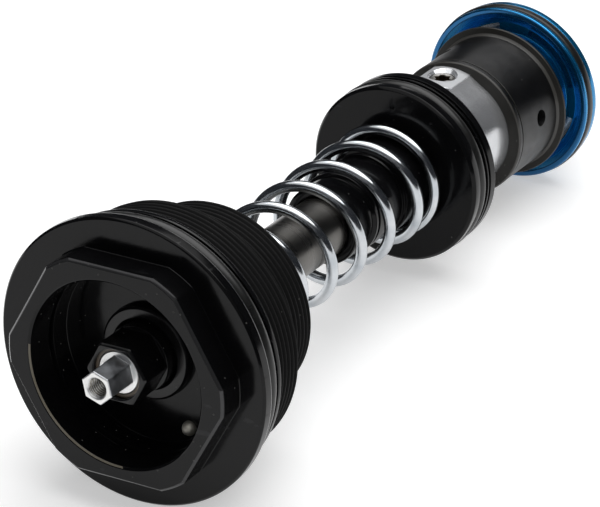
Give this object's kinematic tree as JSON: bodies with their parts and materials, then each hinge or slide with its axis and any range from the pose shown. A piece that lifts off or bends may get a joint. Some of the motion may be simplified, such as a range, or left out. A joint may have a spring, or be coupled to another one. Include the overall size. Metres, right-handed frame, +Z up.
{
  "type": "strut compression damper assembly",
  "caption": "Strut damper insert: leg cap with coaxial high and low speed adjusters, shaft, spring-backed floating piston and shim base valve.",
  "frame": {"origin": "centre of the cap's seat face, on the shaft's axis, where the flange rests on the strut leg", "axes": "+X along the shaft from the cap to the valve, +Z up as it lies in the picture, adjusters at -X"},
  "size_m": [0.1199, 0.04, 0.04],
  "materials": {
    "cap_black": "hard black anodised, turned, satin gloss",
    "piston_black": "black anodised, fine turning marks",
    "adjuster_black": "black anodised hexagon and ring, bright worn edges",
    "silver_alloy": "clear anodised, turned",
    "blue_anodised": "bright blue anodised",
    "shaft_steel": "hard grey satin, ground",
    "inner_steel": "turned steel",
    "spring_wire": "bright drawn spring wire",
    "thin_steel": "ground spring steel strip",
    "ball_steel": "polished ball",
    "screw_steel": "dark oiled screw steel",
    "seal_rubber": "matte nitrile",
    "wiper_brown": "filled PTFE",
    "bush_bronze": "sintered bronze"
  },
  "bodies": {
    "fixed": {"top_cap": "cap_black", "cap_seal": "seal_rubber", "shaft_seal": "seal_rubber", "adjuster_plate": "adjuster_black", "high_speed_spring": "spring_wire", "pressure_ring": "inner_steel", "damper_shaft": "shaft_steel", "piston_spring": "spring_wire", "valve_body": "silver_alloy", "bleed_screw": "screw_steel", "valve_housing": "piston_black", "base_piston": "blue_anodised", "base_piston_seal": "seal_rubber", "compression_shims": "thin_steel", "check_spring": "spring_wire", "check_guide": "inner_steel", "valve_nut": "inner_steel", "detent_spring_1": "spring_wire", "detent_spring_2": "spring_wire"},
    "piston": {"floating_piston": "piston_black", "piston_seal": "seal_rubber", "piston_hub": "piston_black", "hub_cap": "piston_black", "hub_seals": "seal_rubber", "hub_bushes": "bush_bronze", "hub_clip": "thin_steel"},
    "high_adjuster": {"high_speed_adjuster": "adjuster_black", "high_speed_seal": "seal_rubber", "low_speed_wiper": "wiper_brown", "low_speed_clip": "thin_steel"},
    "low_adjuster": {"low_speed_adjuster": "silver_alloy"},
    "needle": {"low_speed_rod": "inner_steel"},
    "preload": {"high_speed_tube": "inner_steel", "preload_keys": "inner_steel", "preload_cup": "inner_steel"},
    "check_valve": {"check_plate": "thin_steel"},
    "ball_1": {"detent_ball_1": "ball_steel"},
    "ball_2": {"detent_ball_2": "ball_steel"}
  },
  "joints": [
    {"name": "piston_slide", "type": "slide", "parent": "fixed", "child": "piston", "axis": [-1, 0, 0], "range_m": [0, 0.025], "stiffness_N_per_m": 2800, "springref_m": -0.006, "deforming": ["piston_spring"]},
    {"name": "high_speed_turn", "type": "hinge", "parent": "fixed", "child": "high_adjuster", "pos_m": [0, 0, 0], "axis": [1, 0, 0], "range_deg": [0, 721]},
    {"name": "preload_slide", "type": "slide", "parent": "fixed", "child": "preload", "axis": [1, 0, 0], "range_m": [0, 0.001], "deforming": ["high_speed_spring"]},
    {"name": "low_speed_turn", "type": "hinge", "parent": "fixed", "child": "low_adjuster", "pos_m": [0, 0, 0], "axis": [1, 0, 0], "range_deg": [0, 901]},
    {"name": "needle_slide", "type": "slide", "parent": "fixed", "child": "needle", "axis": [1, 0, 0], "range_m": [0, 0.00187]},
    {"name": "check_slide", "type": "slide", "parent": "fixed", "child": "check_valve", "axis": [1, 0, 0], "range_m": [0, 0.0012], "stiffness_N_per_m": 150, "springref_m": -0.002, "deforming": ["check_spring"]},
    {"name": "ball_1_slide", "type": "slide", "parent": "fixed", "child": "ball_1", "axis": [1, 0, 0], "range_m": [0, 0.0009], "stiffness_N_per_m": 400, "springref_m": -0.001, "deforming": ["detent_spring_1"]},
    {"name": "ball_2_slide", "type": "slide", "parent": "fixed", "child": "ball_2", "axis": [1, 0, 0], "range_m": [0, 0.0009], "stiffness_N_per_m": 400, "springref_m": -0.001, "deforming": ["detent_spring_2"]}
  ],
  "couplings": [
    {"joint": "high_speed_turn", "follows": "preload_slide", "rad_per_m": 12566},
    {"joint": "low_speed_turn", "follows": "needle_slide", "rad_per_m": 8377.6}
  ]
}
